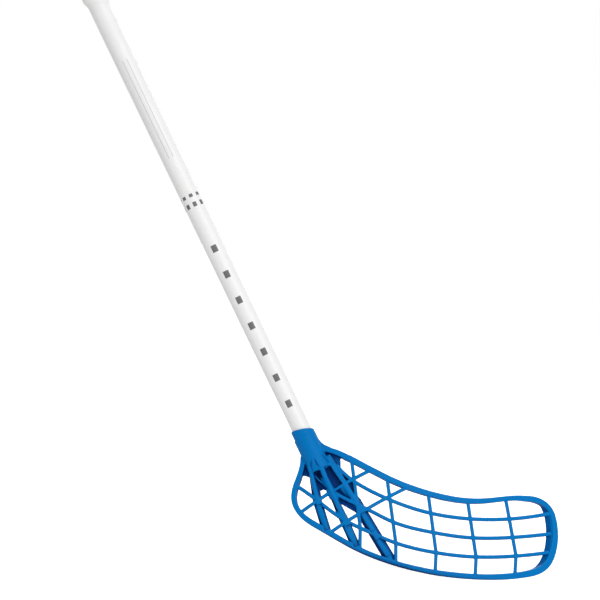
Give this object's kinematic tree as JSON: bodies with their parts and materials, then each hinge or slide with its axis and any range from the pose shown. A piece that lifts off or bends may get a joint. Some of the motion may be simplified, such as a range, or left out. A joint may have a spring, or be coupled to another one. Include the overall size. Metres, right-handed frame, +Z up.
{
  "type": "floorball stick",
  "caption": "Floorball stick: tapered white shaft with a wound grip and butt plug, and a hooked blue lattice blade screwed to its lower end.",
  "frame": {"origin": "middle of the butt plug's cylindrical wall, on the shaft's axis", "axes": "+X from heel to toe of the blade, +Y towards the blade's hollow side, +Z up with the sole level and the stick leaning back as it is held"},
  "size_m": [0.8398, 0.2212, 0.798],
  "materials": {
    "white_lacquer": "white lacquer over composite, satin sheen, grey check ring",
    "blue_plastic": "bright blue moulded polyethylene with a soft sheen",
    "screw_steel": "zinc-plated screw steel",
    "grip_white": "white padded polyurethane strip, matt",
    "tape_white": "smooth white vinyl tape",
    "cap_white": "white moulded elastomer, matt"
  },
  "bodies": {
    "root": {"shaft": "white_lacquer", "blade": "blue_plastic", "blade_screws": "screw_steel", "grip_tape": "grip_white", "finishing_tape": "tape_white", "end_cap": "cap_white"}
  },
  "joints": []
}
